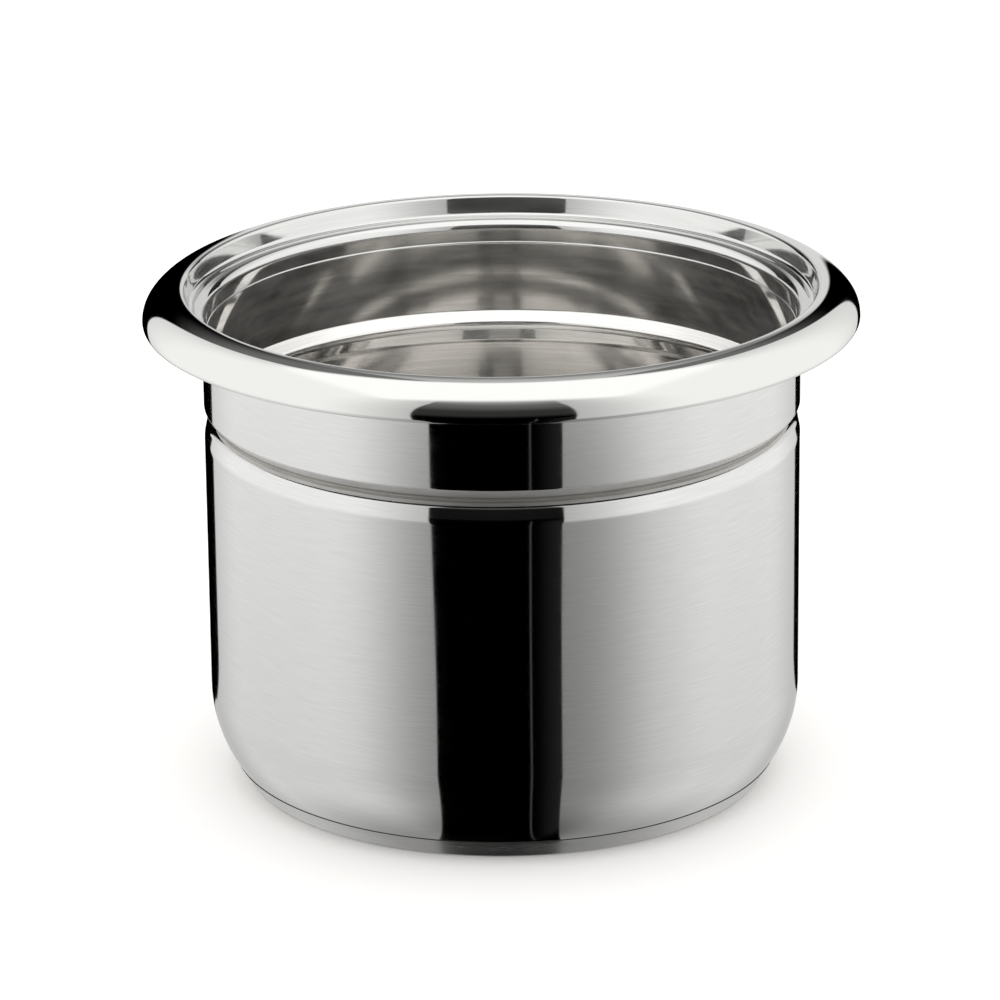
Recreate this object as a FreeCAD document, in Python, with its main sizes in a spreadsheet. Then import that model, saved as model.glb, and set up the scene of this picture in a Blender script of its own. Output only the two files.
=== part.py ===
import FreeCAD, Part
import math
import os

import Sketcher

# Round stainless soup kettle with an open top, in millimetres.
# The origin is the centre of the underside, and +Z runs up the kettle's axis.
# Every piece is sheet or plate turned about that axis, so each is one revolved section.
SIZES = {
    # Overall
    "kettle_height": 231.4,         # table to the crest of the rim
    "wall_radius": 135.5,           # outside of the drawn wall and of the neck above it
    # Drawn shell
    "shell_sheet": 1.0,
    "groove_drop": 59.85,           # crest of the rim down to the deepest ring of the rolled groove
    "groove_depth": 4.8,
    "neck_foot_round": 1.8,         # bend from the neck into the groove
    "flank_lean": 47.0,             # lean of the groove's upper flank from upright, in degrees
    "groove_round": 1.2,            # tight bend at the bottom of the groove
    "shoulder_round": 11.0,         # easy bend from the groove back to the wall
    "corner_round": 60.0,           # large bend from the wall towards the base
    "knuckle_round": 4.0,           # tight bend from the corner into the flat floor
    "floor_inset": 13.5,            # wall to the edge of the flat floor
    # Sandwich base
    "core_thickness": 6.9,
    "core_gap": 0.3,                # edge of the core to the capsule around it
    "cap_sheet": 0.8,
    "base_inset": 17.1,             # wall to the edge of the flat underside
    "base_edge_round": 1.6,
    "seam_rise": 1.25,              # lip of the capsule above the underside of the shell's floor
    "seam_gap": 0.3,                # fine open line between the capsule's lip and the shell
    # Rim collar, dimensioned from the opening outwards
    "collar_sheet": 1.0,
    "weld_gap": 0.1,                # skirt of the collar to the inside of the neck
    "skirt_length": 6.8,
    "nose_round": 5.0,              # rounded edge from the skirt up to the ledge
    "ledge_width": 1.2,
    "ledge_drop": 9.3,              # crest of the rim down to the ledge
    "ledge_fillet": 2.2,
    "recess_draft": 12.0,           # lean of the recess wall from upright, in degrees
    "crest_round": 1.75,
    "bullnose_width": 17.4,         # crest to the outermost line of the rim
    "bullnose_drop": 14.5,          # crest down to the outermost line of the rim
    "bullnose_side_round": 11.5,
    "hem_round": 1.65,              # lower edge of the rim, turned under
    "hem_lip": 1.5,
}

# Heights and radii that two pieces share, worked out from the sizes above.
FLOOR_HEIGHT = "(sizes.cap_sheet + sizes.core_thickness)"
FLOOR_RADIUS = "(sizes.wall_radius - sizes.floor_inset)"
BASE_RADIUS = "(sizes.wall_radius - sizes.base_inset)"
LEDGE_HEIGHT = "(sizes.kettle_height - sizes.ledge_drop)"
NOSE_HEIGHT = "(sizes.kettle_height - sizes.ledge_drop - sizes.nose_round)"
SKIRT_RADIUS = "(sizes.wall_radius - sizes.shell_sheet - sizes.weld_gap - sizes.collar_sheet)"

# Names for the two ends and the centre of a sketch element, and for the axes of a sketch.
START, END, CENTRE = range(1, 4)
LEVEL_AXIS, UPRIGHT_AXIS = range(-1, -3, -1)
ORIGIN = (LEVEL_AXIS, START)


def make_sheet(doc):
    """Put the driving dimensions in a spreadsheet, one alias each."""
    sheet = doc.addObject("Spreadsheet::Sheet", "sizes")
    for row, (name, value) in enumerate(SIZES.items(), start=1):
        sheet.set(f"A{row}", name)
        sheet.set(f"B{row}", str(value))
        sheet.setAlias(f"B{row}", name)
    doc.recompute()
    return sheet


def point(radius, height):
    """A point of the section: distance from the axis, and height."""
    return FreeCAD.Vector(radius, height, 0)


def towards(start, goal, distance):
    """The point at a distance from start on the straight line to goal and past it."""
    return start + (goal - start).normalize() * distance


def other_leg(slant, leg):
    """The second short side of a right-angled triangle."""
    return math.sqrt(slant ** 2 - leg ** 2)


class Outline:
    """A chain of lines and arcs in a sketch, each element joined to the one before."""

    def __init__(self, sketch):
        self.sketch = sketch
        self.tip = None
        self.foot = None

    def line(self, start, end, smooth=True):
        index = self.sketch.addGeometry(Part.LineSegment(start, end))
        self.join((index, START), (index, END), smooth)
        return index

    def arc(self, centre, start, end, clockwise, smooth=True):
        circle = Part.Circle(centre, FreeCAD.Vector(0, 0, 1), (start - centre).Length)
        first, last = (end, start) if clockwise else (start, end)
        turn = [math.atan2(at.y - centre.y, at.x - centre.x) for at in (first, last)]
        index = self.sketch.addGeometry(Part.ArcOfCircle(circle, *turn))
        ends = (END, START) if clockwise else (START, END)
        self.join((index, ends[0]), (index, ends[1]), smooth)
        return index

    def join(self, near, far, smooth):
        if self.tip is None:
            self.foot = near
        else:
            kind = "Tangent" if smooth else "Coincident"
            self.sketch.addConstraint(Sketcher.Constraint(kind, *self.tip, *near))
        self.tip = far

    def close(self, others):
        """Bridge both ends of this chain to those of a second one with straight edges."""
        for mine, theirs in ((self.foot, others.foot), (self.tip, others.tip)):
            edge = self.sketch.addGeometry(Part.LineSegment(
                self.sketch.getPoint(*mine), self.sketch.getPoint(*theirs)))
            self.sketch.addConstraint(Sketcher.Constraint("Coincident", edge, START, *mine))
            self.sketch.addConstraint(Sketcher.Constraint("Coincident", edge, END, *theirs))


def bind(sketch, constraint, expression):
    """Add a dimension to a sketch and drive it by the spreadsheet."""
    index = sketch.addConstraint(constraint)
    sketch.setExpression(f"Constraints[{index}]", expression)


def hold_radius(sketch, arc, expression):
    bind(sketch, Sketcher.Constraint("Radius", arc, sketch.Geometry[arc].Radius), expression)


def hold_across(sketch, at, expression, since=ORIGIN):
    across = sketch.getPoint(*at).x - sketch.getPoint(*since).x
    bind(sketch, Sketcher.Constraint("DistanceX", *since, *at, across), expression)


def hold_height(sketch, at, expression):
    height = sketch.getPoint(*at).y
    bind(sketch, Sketcher.Constraint("DistanceY", *ORIGIN, *at, height), expression)


def hold_lean(sketch, line, expression, lean):
    """Lean of a line that runs down towards the axis, from upright."""
    bind(sketch, Sketcher.Constraint("Angle", line, END, UPRIGHT_AXIS, START, lean),
         f"{expression} * 1 deg")


def hold_upright(sketch, *lines):
    for line in lines:
        sketch.addConstraint(Sketcher.Constraint("Vertical", line))


def hold_level(sketch, *lines):
    for line in lines:
        sketch.addConstraint(Sketcher.Constraint("Horizontal", line))


def section_sketch(body, name):
    """A sketch on the upright plane through the axis of a piece."""
    sketch = body.newObject("Sketcher::SketchObject", name)
    plane = next(each for each in body.Origin.OriginFeatures if each.Role == "XZ_Plane")
    sketch.AttachmentSupport = [(plane, "")]
    sketch.MapMode = "FlatFace"
    return sketch


def spin(body, sketch, name):
    """Revolve a closed section all the way round the kettle's axis."""
    turned = body.newObject("PartDesign::Revolution", name)
    turned.Profile = sketch
    turned.ReferenceAxis = (sketch, ["V_Axis"])
    turned.Angle = 360
    sketch.Visibility = False


def new_piece(doc, label, height):
    """A named piece, with its own zero level set at a height above the table."""
    body = doc.addObject("PartDesign::Body", label)
    body.Label = label
    body.setExpression("Placement.Base.z", height)
    return body


def shell_face(sketch, size, depth_name=None):
    """One face of the drawn shell, from the top of the neck down to the middle of the floor.

    The outer face has no depth. The inner face lies one sheet in from it, on the same centres.
    Heights count from the underside of the floor.
    """
    depth = size[depth_name] if depth_name else 0.0
    inwards = f" - sizes.{depth_name}" if depth_name else ""
    outwards = f" + sizes.{depth_name}" if depth_name else ""
    floor = size["cap_sheet"] + size["core_thickness"]
    crest = size["kettle_height"] - floor
    wall = size["wall_radius"]

    lean = math.radians(size["flank_lean"])
    outward = point(math.cos(lean), -math.sin(lean))
    bend_in = size["neck_foot_round"] + size["groove_round"]
    bend_out = size["groove_round"] + size["shoulder_round"]
    level = crest - size["groove_drop"]
    groove = point(wall - size["groove_depth"] + size["groove_round"], level)
    flank_run = size["groove_depth"] - bend_in * (1 - math.cos(lean))
    rise = flank_run / math.tan(lean) + bend_in * math.sin(lean)
    neck_foot = point(wall - size["neck_foot_round"], level + rise)
    fall = other_leg(bend_out, bend_out - size["groove_depth"])
    shoulder = point(wall - size["shoulder_round"], level - fall)

    knuckle = point(wall - size["floor_inset"], size["knuckle_round"])
    corner_radius = wall - size["corner_round"]
    climb = other_leg(size["corner_round"] - size["knuckle_round"], knuckle.x - corner_radius)
    corner = point(corner_radius, knuckle.y + climb)

    neck_top = point(wall - depth, crest - size["ledge_drop"] - size["nose_round"])
    neck_end = point(wall - depth, neck_foot.y)
    flank_top = neck_foot + outward * (size["neck_foot_round"] - depth)
    flank_end = groove - outward * (size["groove_round"] + depth)
    groove_end = towards(shoulder, groove, size["shoulder_round"] - depth)
    wall_top = point(wall - depth, shoulder.y)
    wall_end = point(wall - depth, corner.y)
    corner_end = towards(corner, knuckle, size["corner_round"] - depth)
    floor_edge = point(knuckle.x, depth)

    face = Outline(sketch)
    neck_line = face.line(neck_top, neck_end)
    neck_foot_arc = face.arc(neck_foot, neck_end, flank_top, clockwise=True)
    flank_line = face.line(flank_top, flank_end)
    groove_arc = face.arc(groove, flank_end, groove_end, clockwise=False)
    shoulder_arc = face.arc(shoulder, groove_end, wall_top, clockwise=True)
    wall_line = face.line(wall_top, wall_end)
    corner_arc = face.arc(corner, wall_end, corner_end, clockwise=True)
    knuckle_arc = face.arc(knuckle, corner_end, floor_edge, clockwise=True)
    floor_line = face.line(floor_edge, point(0, depth))

    hold_upright(sketch, neck_line, wall_line)
    hold_level(sketch, floor_line)
    hold_across(sketch, (neck_line, START), f"sizes.wall_radius{inwards}")
    hold_height(sketch, (neck_line, START), f"{NOSE_HEIGHT} - {FLOOR_HEIGHT}")
    hold_radius(sketch, neck_foot_arc, f"sizes.neck_foot_round{inwards}")
    hold_lean(sketch, flank_line, "sizes.flank_lean", lean)
    hold_radius(sketch, groove_arc, f"sizes.groove_round{outwards}")
    hold_across(sketch, (groove_arc, CENTRE),
                "sizes.wall_radius - sizes.groove_depth + sizes.groove_round")
    hold_height(sketch, (groove_arc, CENTRE),
                f"sizes.kettle_height - sizes.groove_drop - {FLOOR_HEIGHT}")
    hold_radius(sketch, shoulder_arc, f"sizes.shoulder_round{inwards}")
    hold_across(sketch, (wall_line, START), f"sizes.wall_radius{inwards}")
    hold_radius(sketch, corner_arc, f"sizes.corner_round{inwards}")
    hold_radius(sketch, knuckle_arc, f"sizes.knuckle_round{inwards}")
    hold_across(sketch, (floor_line, START), FLOOR_RADIUS)
    hold_height(sketch, (floor_line, END), f"0{outwards}")
    sketch.addConstraint(Sketcher.Constraint("PointOnObject", floor_line, END, UPRIGHT_AXIS))
    return face


def make_shell(doc, size):
    """Kettle body drawn from one sheet: neck, rolled groove, wall, corner and flat floor."""
    body = new_piece(doc, "kettle_shell", FLOOR_HEIGHT)
    sketch = section_sketch(body, "ShellSection")
    outside = shell_face(sketch, size)
    inside = shell_face(sketch, size, "shell_sheet")
    outside.close(inside)
    spin(body, sketch, "ShellTurned")
    return body


def collar_face(sketch, size, depth_name=None):
    """One face of the rim collar, from the lip under the hem, over the crest, to the skirt.

    The seen face has no depth. The hidden face lies one sheet under it, on the same centres.
    """
    depth = size[depth_name] if depth_name else 0.0
    inwards = f" - sizes.{depth_name}" if depth_name else ""
    outwards = f" + sizes.{depth_name}" if depth_name else ""
    crest_height = size["kettle_height"]
    ledge_height = crest_height - size["ledge_drop"]
    draft = math.radians(size["recess_draft"])
    lean = point(-math.cos(draft), math.sin(draft))

    skirt = size["wall_radius"] - size["shell_sheet"] - size["weld_gap"] - size["collar_sheet"]
    nose = point(skirt + size["nose_round"], ledge_height - size["nose_round"])
    fillet = point(nose.x + size["ledge_width"], ledge_height + size["ledge_fillet"])
    recess_foot = fillet - lean * size["ledge_fillet"]
    crest_level = crest_height - size["crest_round"]
    recess_rise = crest_level + lean.y * size["crest_round"] - recess_foot.y
    recess_top = recess_foot + point(recess_rise * math.tan(draft), recess_rise)
    crest = recess_top - lean * size["crest_round"]

    rim = crest.x + size["bullnose_width"]
    equator = crest_height - size["bullnose_drop"]
    hem = point(rim - size["hem_round"], equator)
    side = point(rim - size["bullnose_side_round"], equator)
    reach = point(side.x - crest.x, size["bullnose_drop"])
    top_round = (reach.dot(reach) - size["bullnose_side_round"] ** 2) / (
        2 * (size["bullnose_drop"] - size["bullnose_side_round"]))
    top = point(crest.x, crest_height - top_round)

    hem_foot = point(hem.x, equator - size["hem_round"] + depth)
    widest = point(rim - depth, equator)
    side_end = towards(top, side, top_round - depth)
    crest_top = point(crest.x, crest_height - depth)
    recess_start = crest + lean * (size["crest_round"] - depth)
    recess_end = fillet - lean * (size["ledge_fillet"] + depth)
    ledge_start = point(fillet.x, ledge_height - depth)
    ledge_end = point(nose.x, ledge_height - depth)
    skirt_top = point(skirt + depth, nose.y)

    face = Outline(sketch)
    lip_line = face.line(hem_foot - point(size["hem_lip"], 0), hem_foot)
    hem_arc = face.arc(hem, hem_foot, widest, clockwise=False)
    side_arc = face.arc(side, widest, side_end, clockwise=False)
    top_arc = face.arc(top, side_end, crest_top, clockwise=False)
    crest_arc = face.arc(crest, crest_top, recess_start, clockwise=False)
    recess_line = face.line(recess_start, recess_end)
    fillet_arc = face.arc(fillet, recess_end, ledge_start, clockwise=True)
    ledge_line = face.line(ledge_start, ledge_end)
    nose_arc = face.arc(nose, ledge_end, skirt_top, clockwise=False)
    skirt_line = face.line(skirt_top, skirt_top - point(0, size["skirt_length"]))

    hold_level(sketch, lip_line, ledge_line)
    hold_upright(sketch, skirt_line)
    hold_across(sketch, (skirt_line, END), f"{SKIRT_RADIUS}{outwards}")
    hold_height(sketch, (skirt_line, END), f"{NOSE_HEIGHT} - sizes.skirt_length")
    hold_radius(sketch, nose_arc, f"sizes.nose_round{inwards}")
    hold_height(sketch, (ledge_line, END), f"{LEDGE_HEIGHT}{inwards}")
    hold_across(sketch, (ledge_line, START), "sizes.ledge_width", since=(ledge_line, END))
    hold_radius(sketch, fillet_arc, f"sizes.ledge_fillet{outwards}")
    hold_lean(sketch, recess_line, "sizes.recess_draft", draft)
    hold_radius(sketch, crest_arc, f"sizes.crest_round{inwards}")
    hold_height(sketch, (top_arc, END), f"sizes.kettle_height{inwards}")
    sketch.addConstraint(Sketcher.Constraint("Vertical", top_arc, CENTRE, top_arc, END))
    hold_across(sketch, (side_arc, START), f"sizes.bullnose_width{inwards}", since=(top_arc, END))
    hold_height(sketch, (side_arc, START), "sizes.kettle_height - sizes.bullnose_drop")
    hold_height(sketch, (side_arc, CENTRE), "sizes.kettle_height - sizes.bullnose_drop")
    hold_radius(sketch, side_arc, f"sizes.bullnose_side_round{inwards}")
    hold_radius(sketch, hem_arc, f"sizes.hem_round{inwards}")
    hold_across(sketch, (lip_line, END), "sizes.hem_lip", since=(lip_line, START))
    return face


def make_collar(doc, size):
    """Spun rim: hemmed bullnose, crest, recess, ledge, rounded nose and a skirt in the neck."""
    body = new_piece(doc, "rim_collar", "0")
    sketch = section_sketch(body, "CollarSection")
    seen = collar_face(sketch, size)
    hidden = collar_face(sketch, size, "collar_sheet")
    seen.close(hidden)
    spin(body, sketch, "CollarTurned")
    return body


def make_core(doc, size):
    """Plate between the shell's floor and the capsule, which spreads the heat."""
    body = new_piece(doc, "heat_spreader_disc", "sizes.cap_sheet")
    sketch = section_sketch(body, "CoreSection")
    lower = point(size["wall_radius"] - size["base_inset"] - size["core_gap"], 0)
    upper = point(size["wall_radius"] - size["floor_inset"] - size["core_gap"],
                  size["core_thickness"])
    edge = Outline(sketch)
    bottom_line = edge.line(point(0, 0), lower)
    side_line = edge.line(lower, upper, smooth=False)
    top_line = edge.line(upper, point(0, upper.y), smooth=False)
    axis_line = edge.line(point(0, upper.y), point(0, 0), smooth=False)
    sketch.addConstraint(Sketcher.Constraint("Coincident", axis_line, END, bottom_line, START))
    sketch.addConstraint(Sketcher.Constraint("Coincident", bottom_line, START, *ORIGIN))
    hold_level(sketch, bottom_line, top_line)
    hold_upright(sketch, axis_line)
    hold_across(sketch, (side_line, START), f"{BASE_RADIUS} - sizes.core_gap")
    hold_across(sketch, (side_line, END), f"{FLOOR_RADIUS} - sizes.core_gap")
    hold_height(sketch, (side_line, END), "sizes.core_thickness")
    spin(body, sketch, "CoreTurned")
    return body


def make_cap(doc, size):
    """Magnetic capsule under the core, whose lip closes on the shell's knuckle at the seam."""
    body = new_piece(doc, "induction_base_cap", "0")
    sketch = section_sketch(body, "CapSection")
    gauge = size["cap_sheet"]
    floor = gauge + size["core_thickness"]
    flat = size["wall_radius"] - size["base_inset"]
    knuckle = point(size["wall_radius"] - size["floor_inset"], floor + size["knuckle_round"])
    lip_round = size["knuckle_round"] + size["seam_gap"]
    lip_drop = size["knuckle_round"] - size["seam_rise"]
    lip_outside = knuckle + point(other_leg(lip_round, lip_drop), -lip_drop)

    edge_centre = point(flat, size["base_edge_round"])
    sight = lip_outside - edge_centre
    bearing = math.atan2(sight.y, sight.x) - math.acos(size["base_edge_round"] / sight.Length)
    edge_end = edge_centre + point(math.cos(bearing), math.sin(bearing)) * size["base_edge_round"]
    climb = (lip_outside - edge_end).normalize()
    inwards = point(-climb.y, climb.x) * gauge
    beside = lip_outside + inwards
    short = other_leg(lip_round, (beside - knuckle).dot(point(climb.y, -climb.x)))
    lip_inside = beside - climb * ((beside - knuckle).dot(climb) + short)
    corner = edge_end + inwards + climb * ((gauge - edge_end.y - inwards.y) / climb.y)

    edge = Outline(sketch)
    bottom_line = edge.line(point(0, 0), point(flat, 0))
    edge_arc = edge.arc(edge_centre, point(flat, 0), edge_end, clockwise=False)
    side_line = edge.line(edge_end, lip_outside)
    lip_arc = edge.arc(knuckle, lip_outside, lip_inside, clockwise=True, smooth=False)
    inner_line = edge.line(lip_inside, corner, smooth=False)
    inner_floor = edge.line(corner, point(0, gauge), smooth=False)
    axis_line = edge.line(point(0, gauge), point(0, 0), smooth=False)
    sketch.addConstraint(Sketcher.Constraint("Coincident", axis_line, END, bottom_line, START))
    sketch.addConstraint(Sketcher.Constraint("Coincident", bottom_line, START, *ORIGIN))
    sketch.addConstraint(Sketcher.Constraint("Parallel", side_line, inner_line))
    hold_level(sketch, bottom_line, inner_floor)
    hold_upright(sketch, axis_line)
    hold_across(sketch, (bottom_line, END), BASE_RADIUS)
    hold_radius(sketch, edge_arc, "sizes.base_edge_round")
    hold_across(sketch, (lip_arc, CENTRE), FLOOR_RADIUS)
    hold_height(sketch, (lip_arc, CENTRE), f"{FLOOR_HEIGHT} + sizes.knuckle_round")
    hold_radius(sketch, lip_arc, "sizes.knuckle_round + sizes.seam_gap")
    hold_height(sketch, (side_line, END), f"{FLOOR_HEIGHT} + sizes.seam_rise")
    hold_height(sketch, (inner_floor, END), "sizes.cap_sheet")
    bind(sketch, Sketcher.Constraint("Distance", inner_line, END, side_line, gauge),
         "sizes.cap_sheet")
    spin(body, sketch, "CapTurned")
    return body


def check(doc, bodies):
    """Stop before anything is written if a feature failed or a solid isn't sound."""
    for each in doc.Objects:
        if "Invalid" in each.State or "Error" in each.State:
            raise RuntimeError(f"{each.Label} failed: {each.State}")
        if each.TypeId == "Sketcher::SketchObject" and not each.FullyConstrained:
            raise RuntimeError(f"{each.Label} isn't fully constrained")
    for body in bodies:
        shape = body.Shape
        if shape.isNull() or not shape.isValid() or len(shape.Solids) != 1:
            raise RuntimeError(f"{body.Label} isn't one sound solid")


def main():
    doc = FreeCAD.newDocument("soup_kettle")
    sheet = make_sheet(doc)
    size = {name: float(sheet.get(name)) for name in SIZES}
    bodies = [make(doc, size) for make in (make_shell, make_collar, make_core, make_cap)]
    doc.recompute()
    check(doc, bodies)
    os.makedirs("parts", exist_ok=True)
    for body in bodies:
        body.Shape.exportStep(f"parts/{body.Label}.step")
        box = body.Shape.optimalBoundingBox()
        print(f"{body.Label}: {body.Shape.Volume:.0f} mm3, radius {box.XMax:.2f}, "
              f"z {box.ZMin:.2f} to {box.ZMax:.2f}")


main()
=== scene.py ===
import math
from collections import namedtuple

import bpy
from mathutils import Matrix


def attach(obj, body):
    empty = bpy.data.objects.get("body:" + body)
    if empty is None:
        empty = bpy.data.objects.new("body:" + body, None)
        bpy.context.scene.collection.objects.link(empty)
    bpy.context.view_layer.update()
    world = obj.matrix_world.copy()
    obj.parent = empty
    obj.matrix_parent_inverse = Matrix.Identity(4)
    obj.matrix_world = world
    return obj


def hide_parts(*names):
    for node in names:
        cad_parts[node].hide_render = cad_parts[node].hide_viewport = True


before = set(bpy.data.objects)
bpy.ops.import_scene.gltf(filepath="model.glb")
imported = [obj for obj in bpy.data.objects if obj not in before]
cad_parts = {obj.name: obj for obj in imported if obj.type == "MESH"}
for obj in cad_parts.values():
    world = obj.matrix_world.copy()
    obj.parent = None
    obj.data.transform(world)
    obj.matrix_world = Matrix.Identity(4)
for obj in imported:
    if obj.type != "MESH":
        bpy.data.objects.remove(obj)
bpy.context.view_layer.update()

bl_info = {
    "name": "Soup kettle",
    "version": (1, 0, 0),
    "blender": (4, 5, 0),
    "location": "View3D > Sidebar > Kettle",
    "description": "Builds an open stainless soup kettle and a plain studio around it",
    "category": "Object",
}

MM = 0.001
FULL_TURN = 2 * math.pi
IN_DEGREES = 180 / math.pi  # turns an angle of a shader node into degrees
TURN_STEPS = 256            # facets round the axis, fine enough for a mirror finish
ARC_STEP = 3.0              # degrees of bend from one point of a section to the next
LEAST_ARC_STEPS = 3         # steps of even the smallest bend
LINE_STEP = 9 * MM          # longest straight stretch between two points of a section
SUPPORT = 0.4 * MM          # points that keep a straight stretch flat next to a bend
SEED_SIZE = 2 * MM          # plane that is merged into the first point of a section
WELD_REACH = 0.005 * MM     # points closer than this become one
SHARP_EDGE = math.radians(25)   # faces that meet more sharply keep a crisp edge

# Shares of a face's normal that sort the faces of a piece into finishes.
INNER_LOOK = -0.05          # outward share below which a face belongs to the inside
UNDER_LOOK = -0.02          # share below which a face belongs to the hidden side of the rim, which gets painted shade
CLEAR_LOOK = 0.3            # share above which a face looks clearly up or out
LEVEL_LOOK = 0.9            # upward share above which a face is level
FLANK_LOOK = -0.2           # upward share below which a face of the groove is its flank
GROOVE_SHADE_SHARE = 0.4           # depth of the painted shade, as a share of the groove's tight bend

NOISE_LOW = 0.3             # nearly all of a noise pattern lies between these two values
NOISE_HIGH = 0.7
ACROSS_TANGENT = 0.25       # part of a turn that lays the smear across the brush lines

TABLE_SIZE = 30.0           # metres
TABLE_GAP = 0.2 * MM        # keeps the table's face clear of the base
SKY_WIDTH = math.radians(120)
SKY_HEIGHT = 2.0            # metres
SENSOR_WIDTH = 36           # millimetres
SOFT_GREY = (0.5, 0.5, 0.5, 1)
WHITE = (1, 1, 1, 1)
LAMP_WHITE = (1, 0.997, 0.99, 1)
TENT_RADIUS = 1000 * MM
TENT_HEIGHT = 200 * MM
CARD_SIZE = 840 * MM
CARD_HEIGHT = 700 * MM
CARD_FORWARD = 70 * MM      # from the axis towards the camera
CARD_GLOW = 1.25

Spot = namedtuple("Spot", "radius height outwards upwards")
Look = namedtuple("Look", "swing turn lift")
ShellBends = namedtuple("ShellBends", "neck_foot groove lip crease slope_foot shoulder corner knuckle")
CollarBends = namedtuple("CollarBends", "hem side top crest fillet nose")


def linear(hex_colour):
    """A linear RGB colour from an sRGB hex code."""
    channels = [int(hex_colour[at:at + 2], 16) / 255 for at in (1, 3, 5)]
    return tuple(c / 12.92 if c <= 0.04045 else ((c + 0.055) / 1.055) ** 2.4 for c in channels)


def length(name, millimetres, description):
    """A length of the kettle that the panel shows."""
    return bpy.props.FloatProperty(
        name=name, description=description, default=millimetres * MM, precision=5,
        subtype="DISTANCE", unit="LENGTH")


def angle(name, degrees, description):
    """An angle that the panel shows."""
    return bpy.props.FloatProperty(
        name=name, description=description, default=math.radians(degrees),
        subtype="ANGLE", unit="ROTATION")


def colour(name, hex_colour, description):
    """A colour that the panel shows."""
    return bpy.props.FloatVectorProperty(
        name=name, description=description, default=linear(hex_colour), size=3,
        min=0, max=1, subtype="COLOR")


class KettleSizes(bpy.types.PropertyGroup):
    """Lengths and angles of the kettle's section."""

    height: length("Height", 231.4, "Table to the crest of the rim")
    wall_radius: length("Wall radius", 135.5, "Outside of the wall and of the neck")
    sheet: length("Sheet", 1.0, "Thickness of the shell")
    groove_drop: length("Groove drop", 59.85, "Crest down to the deepest ring of the groove")
    groove_depth: length("Groove depth", 4.8, "Depth of the rolled groove")
    neck_foot_round: length("Neck foot round", 1.8, "Bend from the neck into the groove")
    flank_lean: angle("Flank lean", 47.0, "Lean of the groove's upper flank from upright")
    groove_round: length("Groove round", 1.2, "Tight bend at the bottom of the groove")
    lip_lean: angle("Lip lean", 68.0, "Steepest look upwards of the lip under the groove")
    crease_lean: angle("Crease lean", 40.0, "Look upwards of the lip where it meets the crease")
    crease_round: length("Crease round", 1.3, "Tight bend between the lip and the shoulder")
    shoulder_lean: angle("Shoulder lean", 12.0, "Look upwards of the sloping shoulder")
    shoulder_length: length("Shoulder length", 4.5, "Straight slope of the shoulder")
    shoulder_round: length("Shoulder round", 12.0, "Bend from the shoulder into the wall")
    corner_round: length("Corner round", 60.0, "Large bend from the wall towards the base")
    knuckle_round: length("Knuckle round", 4.0, "Tight bend from the corner into the floor")
    floor_inset: length("Floor inset", 13.5, "Wall to the edge of the flat floor")
    core_thickness: length("Core thickness", 6.9, "Plate inside the base")
    cap_sheet: length("Capsule sheet", 0.8, "Thickness of the capsule")
    base_inset: length("Base inset", 17.1, "Wall to the edge of the flat underside")
    base_edge_round: length("Base edge round", 1.6, "Lower edge of the capsule")
    seam_rise: length("Seam rise", 1.25, "Capsule's lip above the underside of the floor")
    seam_gap: length("Seam gap", 0.3, "Fine open line at the capsule's lip")
    collar_sheet: length("Collar sheet", 1.0, "Thickness of the collar")
    weld_gap: length("Weld gap", 0.1, "Skirt of the collar to the inside of the neck")
    skirt_length: length("Skirt length", 6.8, "Straight skirt inside the neck")
    bead_height: length("Bead height", 1.2, "Fine burnished bead along the skirt's lower edge")
    bead_rise: length("Bead rise", 0.4, "How far the bead stands out of the skirt")
    nose_round: length("Nose round", 5.0, "Rounded edge from the skirt up to the ledge")
    ledge_width: length("Ledge width", 1.2, "Flat part of the ledge")
    ledge_drop: length("Ledge drop", 9.3, "Crest down to the ledge")
    ledge_fillet: length("Ledge fillet", 2.2, "Hollow bend from the ledge into the recess wall")
    recess_draft: angle("Recess draft", 12.0, "Lean of the recess wall from upright")
    crest_round: length("Crest round", 1.75, "Inner bend of the crest")
    bullnose_width: length("Bullnose width", 17.4, "Crest to the outermost line of the rim")
    bullnose_drop: length("Bullnose drop", 14.5, "Crest down to the outermost line")
    bullnose_side_round: length("Bullnose side round", 11.5, "Bend of the rim's outer side")
    hem_round: length("Hem round", 1.65, "Lower edge of the rim, turned under")
    hem_lip: length("Hem lip", 1.5, "Flat lip under the hem")


class KettleColours(bpy.types.PropertyGroup):
    """Colours of the metals and of the table, and the painted shade under the rim, in the groove and
    at the capsule's lip.
    """

    satin: colour("Satin steel", "#E2E2E1", "Brushed steel of the shell")
    satin_shade: colour("Satin shade", "#DBDBDA", "Darker lines of the brushing")
    inside: colour("Inside steel", "#F5F4F2", "Scrubbed steel inside the shell")
    inside_shade: colour("Inside shade", "#EBE9E6", "Darker scratches inside the shell")
    mirror: colour("Mirror steel", "#E6E6E4", "Polished steel of the collar")
    # Painted shade for the crease at the bottom of the groove.
    groove_shade: colour("Groove shade", "#B0ADA8", "Painted shade in the bottom of the groove")
    # Dark colour that paints the shade of the hollow under the rim onto its hidden faces.
    underside_shade: colour("Underside shade", "#454341", "Rough finish, painted dark as the shade under the rim")
    base: colour("Base steel", "#D9D8D5", "Turned steel of the capsule")
    # Painted shade for the fine gap at the capsule's lip.
    seam: colour("Seam", "#2B2927", "Painted shade in the fine gap at the capsule's lip")
    core: colour("Core aluminium", "#C9CACC", "Plate inside the base")
    floor: colour("Floor", "#F4F3F1", "Pale table")


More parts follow.
